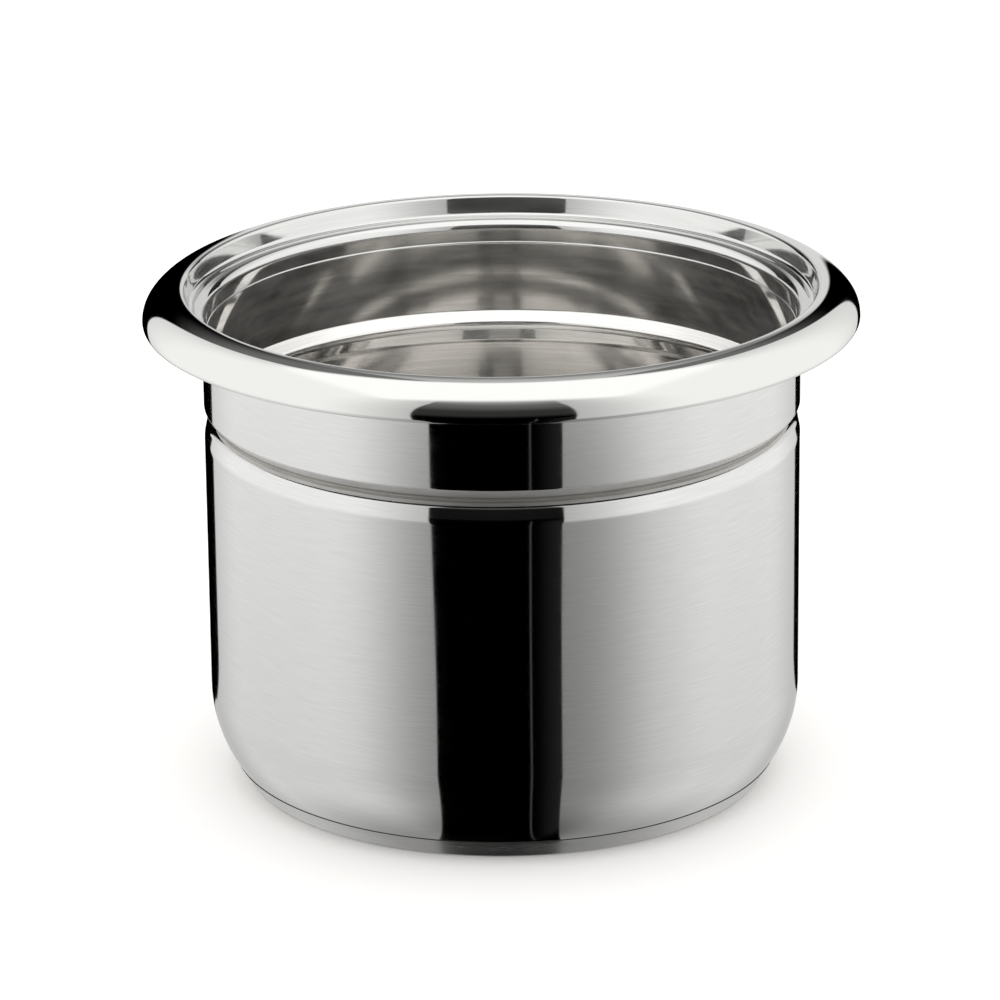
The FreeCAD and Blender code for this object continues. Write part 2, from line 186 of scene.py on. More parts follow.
class KettleStage(bpy.types.PropertyGroup):
    """Camera of the view and strength of the light."""

    distance: length("Distance", 2479.8, "Camera to the point it looks at")
    target_height: length("Target height", 126.8, "Height of the point the camera looks at")
    elevation: angle("Elevation", 18.815, "Camera above the horizon")
    roll: angle("Roll", -0.582, "Turn of the camera about its line of sight")
    focal_length: bpy.props.FloatProperty(
        name="Focal length", description="Lens on a 36 mm sensor, in millimetres", default=195.07,
        subtype="DISTANCE_CAMERA", unit="CAMERA")
    side_shift: bpy.props.FloatProperty(
        name="Side shift", description="Shift of the frame, as a share of its width",
        default=-0.003185, precision=5)
    floor_light: bpy.props.FloatProperty(
        name="Floor light", description="Strength of the soft light on the table", default=3.3)


class Section:
    """Points of a section, as radius and height, traced by lines and bends."""

    def __init__(self, radius, height):
        self.points = [(radius, height)]

    def line(self, radius, height):
        """A straight stretch, with points close to both ends and at even steps between."""
        start = self.points[-1]
        span = math.dist(start, (radius, height))
        marks = [SUPPORT, span - SUPPORT] if span > 3 * SUPPORT else []
        steps = int(span / LINE_STEP)
        marks += [span * step / (steps + 1) for step in range(1, steps + 1)]
        for mark in sorted(marks) + [span]:
            share = mark / span
            self.points.append((start[0] + (radius - start[0]) * share,
                                start[1] + (height - start[1]) * share))

    def bend(self, centre, radius, start, end):
        """An arc about a centre, from one direction to another in degrees."""
        steps = max(LEAST_ARC_STEPS, math.ceil(abs(end - start) / ARC_STEP))
        for step in range(1, steps + 1):
            self.points.append(away(centre, radius, start + (end - start) * step / steps))


def away(point, reach, turn):
    """The point at a distance from another, in a direction in degrees."""
    turn = math.radians(turn)
    return point[0] + reach * math.cos(turn), point[1] + reach * math.sin(turn)


def bearing(start, goal):
    """Direction from one point to another, in degrees."""
    return math.degrees(math.atan2(goal[1] - start[1], goal[0] - start[0]))


def other_leg(slant, leg):
    """The second short side of a right-angled triangle."""
    return math.sqrt(slant ** 2 - leg ** 2)


def closed(first_face, second_face):
    """A closed section from two faces of one sheet."""
    return first_face + second_face[::-1] + first_face[:1]


def turned_piece(name, points):
    """A solid turned about the kettle's axis from a closed section."""
    bpy.ops.object.select_all(action="DESELECT")
    bpy.ops.mesh.primitive_plane_add(size=SEED_SIZE, location=(0, 0, 0))
    piece = bpy.context.active_object
    piece.name = name
    bpy.ops.object.mode_set(mode="EDIT")
    bpy.ops.mesh.select_mode(type="VERT")
    bpy.ops.mesh.select_all(action="SELECT")
    bpy.ops.mesh.merge(type="CENTER")
    bpy.ops.transform.translate(value=(points[0][0], 0, points[0][1]))
    for (radius, height), (next_radius, next_height) in zip(points, points[1:]):
        bpy.ops.mesh.extrude_vertices_move(TRANSFORM_OT_translate={
            "value": (next_radius - radius, 0, next_height - height)})
    bpy.ops.mesh.select_all(action="SELECT")
    bpy.ops.mesh.spin(steps=TURN_STEPS, angle=FULL_TURN, center=(0, 0, 0), axis=(0, 0, 1),
                      use_auto_merge=True)
    bpy.ops.mesh.select_all(action="SELECT")
    bpy.ops.mesh.remove_doubles(threshold=WELD_REACH)
    bpy.ops.mesh.normals_make_consistent(inside=False)
    bpy.ops.object.mode_set(mode="OBJECT")
    bpy.ops.object.shade_smooth_by_angle(angle=SHARP_EDGE)
    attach(piece, "root")
    return piece


def add(tree, kind, inputs=None, **fields):
    """Add a shader node, set its fields, and set or link its inputs."""
    made = tree.nodes.new(kind)
    for name, value in fields.items():
        setattr(made, name, value)
    for name, value in (inputs or {}).items():
        if isinstance(value, bpy.types.NodeSocket):
            tree.links.new(value, made.inputs[name])
        else:
            made.inputs[name].default_value = value
    return made


def calculate(tree, operation, first, *others):
    """An operation on one value, or on several from left to right."""
    if not others:
        return add(tree, "ShaderNodeMath", {0: first}, operation=operation).outputs[0]
    for other in others:
        first = add(tree, "ShaderNodeMath", {0: first, 1: other}, operation=operation).outputs[0]
    return first


def rise(tree, value, low, high, bottom=0.0, top=1.0):
    """A soft step of a value from bottom to top between two limits."""
    step = add(tree, "ShaderNodeMapRange", {
        "Value": value, "From Min": low, "From Max": high, "To Min": bottom, "To Max": top},
        interpolation_type="SMOOTHSTEP")
    return step.outputs["Result"]


def spread(tree, noise, bottom, top):
    """A noise pattern spread softly from one value to another."""
    return rise(tree, noise, NOISE_LOW, NOISE_HIGH, bottom, top)


def blend(tree, share, first, second):
    """A number that goes from the first value to the second as a share goes from 0 to 1."""
    return add(tree, "ShaderNodeMix", {0: share, 2: first, 3: second}, data_type="FLOAT").outputs[0]


def show(tree, surface, kind="ShaderNodeOutputMaterial"):
    """Send a finished shader to the output of its tree."""
    add(tree, kind, {"Surface": surface})


def empty_material(name):
    """A material without nodes, and its tree."""
    material = bpy.data.materials.new(name)
    material.use_nodes = True
    material.node_tree.nodes.clear()
    return material, material.node_tree


def new_metal(name):
    """A material, its tree and a metal shader that is its surface."""
    material, tree = empty_material(name)
    shader = add(tree, "ShaderNodeBsdfPrincipled", {"Metallic": 1.0})
    show(tree, shader.outputs["BSDF"])
    return material, tree, shader


def grain(tree, along, across, detail=3.0):
    """Streaks that run round the axis: their length and their width, in millimetres."""
    place = add(tree, "ShaderNodeTexCoord").outputs["Object"]
    axes = add(tree, "ShaderNodeSeparateXYZ", {0: place})
    level = add(tree, "ShaderNodeVectorMath", {0: place, 1: (1, 1, 0)}, operation="MULTIPLY")
    radius = add(tree, "ShaderNodeVectorMath", {0: level.outputs["Vector"]}, operation="LENGTH")
    down_and_in = calculate(tree, "ADD", axes.outputs["Z"], radius.outputs["Value"])
    stretched = add(tree, "ShaderNodeCombineXYZ", {
        "X": calculate(tree, "DIVIDE", axes.outputs["X"], along * MM),
        "Y": calculate(tree, "DIVIDE", axes.outputs["Y"], along * MM),
        "Z": calculate(tree, "DIVIDE", down_and_in, across * MM)}).outputs["Vector"]
    noise = add(tree, "ShaderNodeTexNoise", {"Vector": stretched, "Scale": 1.0, "Detail": detail})
    return noise.outputs["Fac"]


def streaked(tree, lines, light, shade):
    """A colour that changes from shade to light with a pattern of lines."""
    tone = add(tree, "ShaderNodeMix", {
        "Factor": spread(tree, lines, 0.0, 1.0), "A": (*shade, 1), "B": (*light, 1)},
        data_type="RGBA")
    return tone.outputs["Result"]


def round_axis(tree):
    """The direction in which a brush runs round the kettle."""
    return add(tree, "ShaderNodeTangent", direction_type="RADIAL", axis="Z").outputs["Tangent"]


def brushed_steel(name, light, shade, smooth, rough, streak=0.04, smear=0.9):
    """Steel brushed round the axis: the fine lines smear reflections up and down, not sideways.

    A smear of 0 gives a dull face that blurs them all ways.
    """
    material, tree, shader = new_metal(name)
    lines = grain(tree, along=16, across=0.4)
    wear = grain(tree, along=70, across=9, detail=2.0)
    gloss = spread(tree, lines, bottom=rough, top=smooth)
    uneven = spread(tree, wear, bottom=-streak, top=streak)
    tree.links.new(streaked(tree, lines, light, shade), shader.inputs["Base Color"])
    tree.links.new(calculate(tree, "ADD", gloss, uneven), shader.inputs["Roughness"])
    tree.links.new(round_axis(tree), shader.inputs["Tangent"])
    shader.inputs["Anisotropic"].default_value = smear
    shader.inputs["Anisotropic Rotation"].default_value = ACROSS_TANGENT
    return material


def scrubbed_steel(name, light, shade):
    """Bright steel under fine scratches: a mirror seen through streaks of soft haze."""
    material, tree = empty_material(name)
    lines = grain(tree, along=60, across=0.8)
    wear = grain(tree, along=45, across=5, detail=4.0)
    tone = streaked(tree, lines, light, shade)
    mirror = add(tree, "ShaderNodeBsdfPrincipled", {
        "Metallic": 1.0, "Base Color": tone, "Roughness": spread(tree, lines, bottom=0.07, top=0.03)})
    haze = add(tree, "ShaderNodeBsdfPrincipled", {
        "Metallic": 1.0, "Base Color": tone, "Roughness": 0.42, "Anisotropic": 0.7,
        "Anisotropic Rotation": ACROSS_TANGENT, "Tangent": round_axis(tree)})
    both = add(tree, "ShaderNodeMixShader", {
        0: spread(tree, wear, bottom=0.20, top=0.04),
        1: mirror.outputs["BSDF"], 2: haze.outputs["BSDF"]})
    show(tree, both.outputs[0])
    return material


def polished_steel(name, tone):
    """Steel buffed to a mirror, with the faint haze that the buffing wheel leaves."""
    material, tree, shader = new_metal(name)
    haze = grain(tree, along=30, across=6)
    shader.inputs["Base Color"].default_value = (*tone, 1)
    tree.links.new(spread(tree, haze, bottom=0.03, top=0.06), shader.inputs["Roughness"])
    return material


def seam_shadow(name, tone):
    """Almost black colour that paints the shade in the fine gap at the capsule's lip, dull like the
    oxide and dirt that a polishing wheel can't reach.
    """
    material, tree, shader = new_metal(name)
    crust = grain(tree, along=3, across=1)
    shader.inputs["Metallic"].default_value = 0.0
    shader.inputs["Base Color"].default_value = (*tone, 1)
    tree.links.new(spread(tree, crust, bottom=0.6, top=0.8), shader.inputs["Roughness"])
    return material


def rolled_aluminium(name, tone):
    """Plain rolled plate, dull and even."""
    material, tree, shader = new_metal(name)
    rolling = grain(tree, along=40, across=2)
    shader.inputs["Base Color"].default_value = (*tone, 1)
    tree.links.new(spread(tree, rolling, bottom=0.4, top=0.5), shader.inputs["Roughness"])
    return material


def dress(piece, material, slot, *cad_nodes):
    """Give a piece its metal and hide the parts of the frame it stands for."""
    piece.data.materials.clear()
    piece.data.materials.append(material)
    if cad_nodes:
        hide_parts(*cad_nodes)


def dress_faces(piece, material, picks):
    """Give the faces that a test picks their own finish.

    The test gets a face's radius and height, and how far it looks outwards and upwards.
    """
    piece.data.materials.append(material)
    for face in piece.data.polygons:
        x, y, height = face.center
        radius = math.hypot(x, y)
        outwards = (face.normal.x * x + face.normal.y * y) / max(radius, SUPPORT)
        if picks(Spot(radius, height, outwards, face.normal.z)):
            face.material_index = len(piece.data.materials) - 1


def floor_level(sizes):
    """Height of the shell's underside above the table."""
    return sizes.cap_sheet + sizes.core_thickness


def groove_level(sizes):
    """Height of the deepest ring of the groove above the table."""
    return sizes.height - sizes.groove_drop


def lip_radius(sizes):
    """Radius of the lip that brings the shoulder out to the wall."""
    slope = sizes.shoulder_lean
    reach = sizes.groove_depth - sizes.groove_round * (1 - math.cos(sizes.lip_lean))
    reach -= sizes.crease_round * (math.cos(slope) - math.cos(sizes.crease_lean))
    reach -= sizes.shoulder_length * math.sin(slope)
    reach -= sizes.shoulder_round * (1 - math.cos(slope))
    return reach / (math.cos(sizes.crease_lean) - math.cos(sizes.lip_lean))


def shell_bends(sizes):
    """Centres of the shell's bends from the neck down, and the foot of the sloping shoulder."""
    wall = sizes.wall_radius
    lean = sizes.flank_lean
    bend_in = sizes.neck_foot_round + sizes.groove_round
    flank_run = sizes.groove_depth - bend_in * (1 - math.cos(lean))
    flank_drop = flank_run / math.tan(lean) + bend_in * math.sin(lean)
    groove = (wall - sizes.groove_depth + sizes.groove_round, groove_level(sizes))
    neck_foot = (wall - sizes.neck_foot_round, groove[1] + flank_drop)

    lip_round = lip_radius(sizes)
    slope_turn = math.degrees(sizes.shoulder_lean)
    lip = away(groove, sizes.groove_round + lip_round, math.degrees(sizes.lip_lean) + 180)
    crease = away(lip, lip_round - sizes.crease_round, math.degrees(sizes.crease_lean))
    slope_top = away(crease, sizes.crease_round, slope_turn)
    slope_foot = away(slope_top, sizes.shoulder_length, slope_turn - 90)
    shoulder = away(slope_foot, sizes.shoulder_round, slope_turn + 180)

    knuckle = (wall - sizes.floor_inset, floor_level(sizes) + sizes.knuckle_round)
    corner_radius = wall - sizes.corner_round
    corner_rise = other_leg(sizes.corner_round - sizes.knuckle_round, knuckle[0] - corner_radius)
    corner = (corner_radius, knuckle[1] + corner_rise)
    return ShellBends(neck_foot, groove, lip, crease, slope_foot, shoulder, corner, knuckle)


def shell_face(sizes, depth):
    """Points of one face of the shell, from the top of the neck down to the axis."""
    at = shell_bends(sizes)
    wall = sizes.wall_radius - depth
    hollow = sizes.groove_round + depth
    flank_turn = -math.degrees(sizes.flank_lean)
    lip_turn = math.degrees(sizes.lip_lean)
    crease_turn = math.degrees(sizes.crease_lean)
    slope_turn = math.degrees(sizes.shoulder_lean)
    corner_turn = bearing(at.corner, at.knuckle)

    face = Section(wall, sizes.height - sizes.ledge_drop - sizes.nose_round)
    face.line(wall, at.neck_foot[1])
    face.bend(at.neck_foot, sizes.neck_foot_round - depth, 0, flank_turn)
    face.line(*away(at.groove, hollow, flank_turn + 180))
    face.bend(at.groove, hollow, flank_turn + 180, lip_turn + 180)
    face.bend(at.lip, lip_radius(sizes) - depth, lip_turn, crease_turn)
    face.bend(at.crease, sizes.crease_round - depth, crease_turn, slope_turn)
    face.line(*away(at.slope_foot, depth, slope_turn + 180))
    face.bend(at.shoulder, sizes.shoulder_round - depth, slope_turn, 0)
    face.line(wall, at.corner[1])
    face.bend(at.corner, sizes.corner_round - depth, 0, corner_turn)
    face.bend(at.knuckle, sizes.knuckle_round - depth, corner_turn, -90)
    face.line(0, floor_level(sizes) + depth)
    return face.points


def skirt_radius(sizes):
    """Radius of the bore inside the collar's skirt."""
    return sizes.wall_radius - sizes.sheet - sizes.weld_gap - sizes.collar_sheet


def collar_bends(sizes):
    """Centres of the collar's bends, from the hem over the crest to the nose."""
    ledge = sizes.height - sizes.ledge_drop
    draft = sizes.recess_draft
    nose = (skirt_radius(sizes) + sizes.nose_round, ledge - sizes.nose_round)
    fillet = (nose[0] + sizes.ledge_width, ledge + sizes.ledge_fillet)
    recess_foot = fillet[1] - math.sin(draft) * sizes.ledge_fillet
    recess_top = sizes.height - sizes.crest_round * (1 - math.sin(draft))
    recess_run = (recess_top - recess_foot) * math.tan(draft)
    bends_run = math.cos(draft) * (sizes.ledge_fillet + sizes.crest_round)
    crest = (fillet[0] + bends_run + recess_run, sizes.height - sizes.crest_round)

    rim = crest[0] + sizes.bullnose_width
    equator = sizes.height - sizes.bullnose_drop
    hem = (rim - sizes.hem_round, equator)
    side = (rim - sizes.bullnose_side_round, equator)
    reach = (side[0] - crest[0]) ** 2 + sizes.bullnose_drop ** 2
    top_round = (reach - sizes.bullnose_side_round ** 2) / (
        2 * (sizes.bullnose_drop - sizes.bullnose_side_round))
    top = (crest[0], sizes.height - top_round)
    return CollarBends(hem, side, top, crest, fillet, nose)


def add_bead(face, sizes, foot):
    """Trace the rest of the skirt, and the rounded bead along its lower edge."""
    skirt = skirt_radius(sizes)
    half = sizes.bead_height / 2
    bead_round = (half ** 2 + sizes.bead_rise ** 2) / (2 * sizes.bead_rise)
    bead_turn = math.degrees(math.asin(half / bead_round))
    middle = (skirt + bead_round - sizes.bead_rise, foot + half)
    face.line(skirt, foot + sizes.bead_height)
    face.bend(middle, bead_round, 180 - bead_turn, 180 + bead_turn)


def collar_face(sizes, depth):
    """Points of one face of the collar, from the lip under the hem over the crest to the skirt."""
    at = collar_bends(sizes)
    under_hem = at.hem[1] - sizes.hem_round + depth
    side_turn = bearing(at.top, at.side)
    draft_turn = 180 - math.degrees(sizes.recess_draft)
    hollow = sizes.ledge_fillet + depth
    skirt_foot = at.nose[1] - sizes.skirt_length

    face = Section(at.hem[0] - sizes.hem_lip, under_hem)
    face.line(at.hem[0], under_hem)
    face.bend(at.hem, sizes.hem_round - depth, -90, 0)
    face.bend(at.side, sizes.bullnose_side_round - depth, 0, side_turn)
    face.bend(at.top, sizes.height - at.top[1] - depth, side_turn, 90)
    face.bend(at.crest, sizes.crest_round - depth, 90, draft_turn)
    face.line(*away(at.fillet, hollow, draft_turn - 180))
    face.bend(at.fillet, hollow, draft_turn - 180, -90)
    face.line(at.nose[0], sizes.height - sizes.ledge_drop - depth)
    face.bend(at.nose, sizes.nose_round - depth, 90, 180)
    if depth > 0:
        face.line(skirt_radius(sizes) + depth, skirt_foot)
    else:
        add_bead(face, sizes, skirt_foot)
    return face.points


def cap_section(sizes):
    """Closed section of the capsule, from the middle of its underside round its lip and back."""
    gauge = sizes.cap_sheet
    flat = sizes.wall_radius - sizes.base_inset
    knuckle = (sizes.wall_radius - sizes.floor_inset, floor_level(sizes) + sizes.knuckle_round)
    lip_round = sizes.knuckle_round + sizes.seam_gap
    lip_drop = sizes.knuckle_round - sizes.seam_rise
    lip = (knuckle[0] + other_leg(lip_round, lip_drop), knuckle[1] - lip_drop)
    edge = (flat, sizes.base_edge_round)
    edge_turn = bearing(edge, lip) - math.degrees(
        math.acos(sizes.base_edge_round / math.dist(edge, lip)))
    inner_lip = away(lip, -gauge, edge_turn)
    inner_floor_edge = inner_lip[0] + (inner_lip[1] - gauge) * math.tan(math.radians(edge_turn))

    section = Section(0, 0)
    section.line(flat, 0)
    section.bend(edge, sizes.base_edge_round, -90, edge_turn)
    section.line(*lip)
    section.line(*inner_lip)
    section.line(inner_floor_edge, gauge)
    section.line(0, gauge)
    return section.points


def finish_inside(shell, sizes, colours):
    """Scrub the inside of the wall, and brush the floor in rings."""
    floor_edge = sizes.wall_radius - sizes.floor_inset
    scrubbed = scrubbed_steel("Scrubbed stainless inside", colours.inside, colours.inside_shade)
    dress_faces(shell, scrubbed, lambda spot: spot.outwards < INNER_LOOK or (
        spot.upwards > CLEAR_LOOK and spot.radius < floor_edge))
    above_floor = floor_level(sizes) + 2 * sizes.sheet
    ringed = brushed_steel("Ring-brushed stainless floor", colours.base, colours.satin_shade,
                           smooth=0.12, rough=0.20)
    dress_faces(shell, ringed, lambda spot: spot.upwards > LEVEL_LOOK and spot.height < above_floor)


def finish_groove(shell, sizes, colours):
    """Leave the groove's flank dull, and paint a slight shade along its bottom."""
    groove_foot = groove_level(sizes) - sizes.groove_round
    dull = brushed_steel("Dull rolled flank of the groove", colours.inside_shade,
                         colours.satin_shade, smooth=0.55, rough=0.70, smear=0.0)
    dress_faces(shell, dull, lambda spot: spot.outwards > CLEAR_LOOK
                and spot.upwards < FLANK_LOOK and spot.height > groove_foot)
    # The bottom of the groove gets a darker colour: painted shade in the crease.
    groove_shade_edge = sizes.wall_radius - sizes.groove_depth + GROOVE_SHADE_SHARE * sizes.groove_round
    shaded_groove = brushed_steel("Painted shade along the groove's bottom", colours.groove_shade, colours.groove_shade,
                            smooth=0.55, rough=0.70, smear=0.0)
    dress_faces(shell, shaded_groove, lambda spot: spot.outwards > CLEAR_LOOK
                and spot.radius < groove_shade_edge and spot.height > groove_foot)


class KETTLE_OT_shell(bpy.types.Operator):
    """Drawn shell with neck, rolled groove, wall, rounded corner and floor"""

    bl_idname = "kettle.shell"
    bl_label = "Build shell"

    def execute(self, context):
        sizes = context.scene.kettle_sizes
        colours = context.scene.kettle_colours
        steel = brushed_steel("Fine-brushed stainless outside", colours.satin, colours.satin_shade,
                              smooth=0.05, rough=0.09, streak=0.01)
        section = closed(shell_face(sizes, 0.0), shell_face(sizes, sizes.sheet))
        shell = turned_piece("KettleShell", section)
        dress(shell, steel, "satin_steel", "kettle_shell")
        finish_inside(shell, sizes, colours)
        finish_groove(shell, sizes, colours)
        # Faces of the shell behind the capsule's lip get painted shade.
        seam = floor_level(sizes) + sizes.seam_rise + sizes.seam_gap / 2
        dress_faces(shell, seam_shadow("Painted shade behind the lip", colours.seam),
                    lambda spot: spot.height < seam and spot.upwards < CLEAR_LOOK)
        return {"FINISHED"}


class KETTLE_OT_collar(bpy.types.Operator):
    """Mirror-polished rim collar with hemmed bullnose, recess, ledge and skirt"""

    bl_idname = "kettle.collar"
    bl_label = "Build rim collar"

    def execute(self, context):
        sizes = context.scene.kettle_sizes
        colours = context.scene.kettle_colours
        steel = polished_steel("Mirror-polished stainless rim", colours.mirror)
        section = closed(collar_face(sizes, 0.0), collar_face(sizes, sizes.collar_sheet))
        collar = turned_piece("RimCollar", section)
        dress(collar, steel, "mirror_steel", "rim_collar")
        nose_edge = sizes.wall_radius + sizes.nose_round
        recess = scrubbed_steel("Buffed stainless recess", colours.mirror, colours.satin)
        dress_faces(collar, recess, lambda spot: spot.outwards < INNER_LOOK or (
            spot.upwards > CLEAR_LOOK and spot.radius < nose_edge))
        # The hidden faces under the rim get a rough finish in a dark colour: painted shade for the
        # hollow under the bullnose.
        equator = sizes.height - sizes.bullnose_drop
        hem_edge = sizes.wall_radius + sizes.bullnose_width
        underside_shade = brushed_steel("Rough steel painted in shade under the rim", colours.underside_shade, colours.underside_shade,
                            smooth=0.45, rough=0.6)
        dress_faces(collar, underside_shade, lambda spot: (
            (spot.upwards < UNDER_LOOK and spot.height > equator)
            or (spot.outwards < UNDER_LOOK and spot.radius > hem_edge)))
        return {"FINISHED"}


class KETTLE_OT_base(bpy.types.Operator):
    """Capsule of the sandwich base, and the finish of the plate inside it"""

    bl_idname = "kettle.base"
    bl_label = "Build base"

    def execute(self, context):
        sizes = context.scene.kettle_sizes
        colours = context.scene.kettle_colours
        steel = brushed_steel("Turned magnetic steel base", colours.base, colours.satin_shade,
                              smooth=0.16, rough=0.26)
        cap = turned_piece("BaseCapsule", cap_section(sizes))
        dress(cap, steel, "base_steel", "induction_base_cap")
        floor = floor_level(sizes)
        # The edge of the capsule's lip gets painted shade as well.
        dress_faces(cap, seam_shadow("Painted shade on the lip's edge", colours.seam),
                    lambda spot: spot.height > floor and spot.upwards > CLEAR_LOOK)
        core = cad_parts["heat_spreader_disc"]
        dress(core, rolled_aluminium("Rolled aluminium core", colours.core), "core_aluminium")
        return {"FINISHED"}


def pale_table(tone):
    """Plain matt table that the steel doesn't mirror."""
    bpy.ops.object.select_all(action="DESELECT")
    bpy.ops.mesh.primitive_plane_add(size=TABLE_SIZE, location=(0, 0, -TABLE_GAP))
    table = bpy.context.active_object
    table.name = "Table"
    table.visible_glossy = False
    material, tree = empty_material("Matt table")
    matt = add(tree, "ShaderNodeBsdfDiffuse", {"Color": (*tone, 1)})
    show(tree, matt.outputs[0])
    table.data.materials.append(material)


def table_light(strength):
    """Wide soft light from above, which the steel doesn't mirror."""
    bpy.ops.object.light_add(type="SUN", location=(0, 0, SKY_HEIGHT), rotation=(0, 0, 0))
    sky = bpy.context.active_object
    sky.name = "TableLight"
    sky.data.energy = strength
    sky.data.angle = SKY_WIDTH
    sky.visible_glossy = False


def white_room():
    """White behind the kettle for the camera, and an even soft glow for the table."""
    world = bpy.data.worlds.new("Studio")
    bpy.context.scene.world = world
    world.use_nodes = True
    tree = world.node_tree
    tree.nodes.clear()
    seen = add(tree, "ShaderNodeMix", {
        "Factor": add(tree, "ShaderNodeLightPath").outputs["Is Camera Ray"],
        "A": SOFT_GREY, "B": WHITE}, data_type="RGBA")
    background = add(tree, "ShaderNodeBackground", {"Color": seen.outputs["Result"]})
    show(tree, background.outputs[0], "ShaderNodeOutputWorld")


def glow_material(name):
    """A light source's own material, its tree and its lamp shader."""
    material, tree = empty_material(name)
    material.cycles.emission_sampling = "NONE"
    return material, tree, add(tree, "ShaderNodeEmission", {"Color": LAMP_WHITE})


def show_in_mirror_only(card, material):
    """A studio card that the steel mirrors, and that nothing else sees."""
    card.data.materials.append(material)
    card.visible_camera = False
    card.visible_diffuse = False
    card.visible_transmission = False
    card.visible_volume_scatter = False
    card.visible_shadow = False


def tent_look(tree):
    """Where a spot of the tent lies, in degrees.

    Swing is its bearing from the camera's side, positive to the right, turn is the same to either
    side, and lift is its height above the middle of the tent.
    """
    place = add(tree, "ShaderNodeTexCoord").outputs["Object"]
    x, y, z = add(tree, "ShaderNodeSeparateXYZ", {0: place}).outputs
    towards_camera = calculate(tree, "MULTIPLY", y, -1.0)
    swing = calculate(tree, "MULTIPLY", calculate(tree, "ARCTAN2", x, towards_camera), IN_DEGREES)
    level = calculate(tree, "DIVIDE", calculate(tree, "SUBTRACT", z, TENT_HEIGHT), TENT_RADIUS)
    level = calculate(tree, "MAXIMUM", calculate(tree, "MINIMUM", level, 1.0), -1.0)
    lift = calculate(tree, "MULTIPLY", calculate(tree, "ARCSINE", level), IN_DEGREES)
    return Look(swing, calculate(tree, "ABSOLUTE", swing), lift)


def gap_edge(tree, look, low_edge, level_edge, under_reach, level_reach):
    """Bearing of a softbox's near edge in degrees: even at eye level, and straight across below."""
    even = rise(tree, look.lift, -28, -15, bottom=low_edge, top=level_edge)
    reach = add(tree, "ShaderNodeMapRange", {
        "Value": look.lift, "From Min": -90.0, "From Max": -20.0,
        "To Min": under_reach, "To Max": level_reach}).outputs["Result"]
    below = calculate(tree, "DIVIDE", calculate(tree, "MINIMUM", look.lift, 0.0), IN_DEGREES)
    share = calculate(tree, "DIVIDE", reach, calculate(tree, "COSINE", below))
    across = calculate(tree, "ARCSINE", calculate(tree, "MINIMUM", share, 1.0))
    return calculate(tree, "MAXIMUM", calculate(tree, "MULTIPLY", across, IN_DEGREES), even)


def between_edges(tree, swing, near, far):
    """1 between the two edges of a softbox, 0 outside, with slightly soft edges."""
    opens = rise(tree, calculate(tree, "SUBTRACT", swing, near), -0.25, 0.25)
    closes = rise(tree, calculate(tree, "SUBTRACT", swing, far), -0.5, 0.5, bottom=1.0, top=0.0)
    return calculate(tree, "MULTIPLY", opens, closes)


def softboxes(tree, look, left_edge, right_edge):
    """1 on the two wide softboxes, which meet low behind the kettle, and 0 in the gaps."""
    closing = rise(tree, look.lift, -34, -27, bottom=40, top=0)
    left_end = calculate(tree, "ADD", closing, 142.0)
    right_end = calculate(tree, "ADD", closing, 147.0)
    left_swing = calculate(tree, "MULTIPLY", look.swing, -1.0)
    left_box = between_edges(tree, left_swing, left_edge, left_end)
    right_box = between_edges(tree, look.swing, right_edge, right_end)
    return calculate(tree, "MAXIMUM", left_box, right_box)


def softbox_glow(tree, look):
    """Strength of the softboxes, which are dimmer by the camera, at the back and low down."""
    by_camera = rise(tree, look.turn, 16, 58, bottom=0.55, top=1.1)
    at_back = rise(tree, look.turn, 115, 150, bottom=1.0, top=0.72)
    low = rise(tree, look.lift, -34, -8, bottom=0.78, top=1.0)
    by_table = rise(tree, look.lift, -75, -45, bottom=0.4, top=1.0)
    low_left = rise(tree, look.swing, -70, -22, bottom=0.95, top=0.68)
    low_middle = rise(tree, look.swing, -10, 10, bottom=1.0, top=0.82)
    low_right = rise(tree, look.swing, 30, 85, bottom=1.0, top=1.72)
    low_sides = calculate(tree, "MULTIPLY", low_left, low_middle, low_right)
    sides = blend(tree, rise(tree, look.lift, -19, -9), low_sides, 1.0)
    return calculate(tree, "MULTIPLY", by_camera, at_back, low, sides, by_table)


def front_glow(tree, look):
    """Strength in the gap round the camera: black below, and lighter in steps towards the top."""
    eye_level = rise(tree, look.lift, -2, 12, top=0.035)
    above = rise(tree, look.lift, 20, 45, top=0.11)
    overhead = rise(tree, look.lift, 44, 68, top=0.6)
    return calculate(tree, "ADD", eye_level, above, overhead)


def back_glow(tree, look):
    """Strength in the gap behind the kettle: a pale panel that stands in the dark."""
    panel_right = rise(tree, look.swing, 161, 163)
    panel_left = rise(tree, look.swing, -169, -167, bottom=1.0, top=0.0)
    panel = calculate(tree, "MAXIMUM", panel_right, panel_left)
    panel_low = rise(tree, look.lift, 20, 28, bottom=0.78, top=0.25)
    panel_high = rise(tree, look.lift, 30, 50, top=0.3)
    dark = rise(tree, look.lift, 22, 44, top=0.18)
    return blend(tree, panel, dark, calculate(tree, "ADD", panel_low, panel_high))


def slit_glow(tree, look, right_edge):
    """Strength of the fine upright line right of the camera, and of the faint light beside it."""
    share = calculate(tree, "DIVIDE", look.swing, right_edge)
    slit_start = rise(tree, share, 0.435, 0.445)
    slit_end = rise(tree, share, 0.465, 0.475, bottom=0.06, top=0.0)
    slit = calculate(tree, "MULTIPLY", slit_start, slit_end)
    beside = rise(tree, share, 0.47, 1.0, top=0.014)
    low = rise(tree, look.lift, -8, -2, bottom=1.0, top=0.0)
    by_camera = rise(tree, look.turn, 30, 40, bottom=1.0, top=0.0)
    return calculate(tree, "MULTIPLY", calculate(tree, "ADD", slit, beside), low, by_camera)


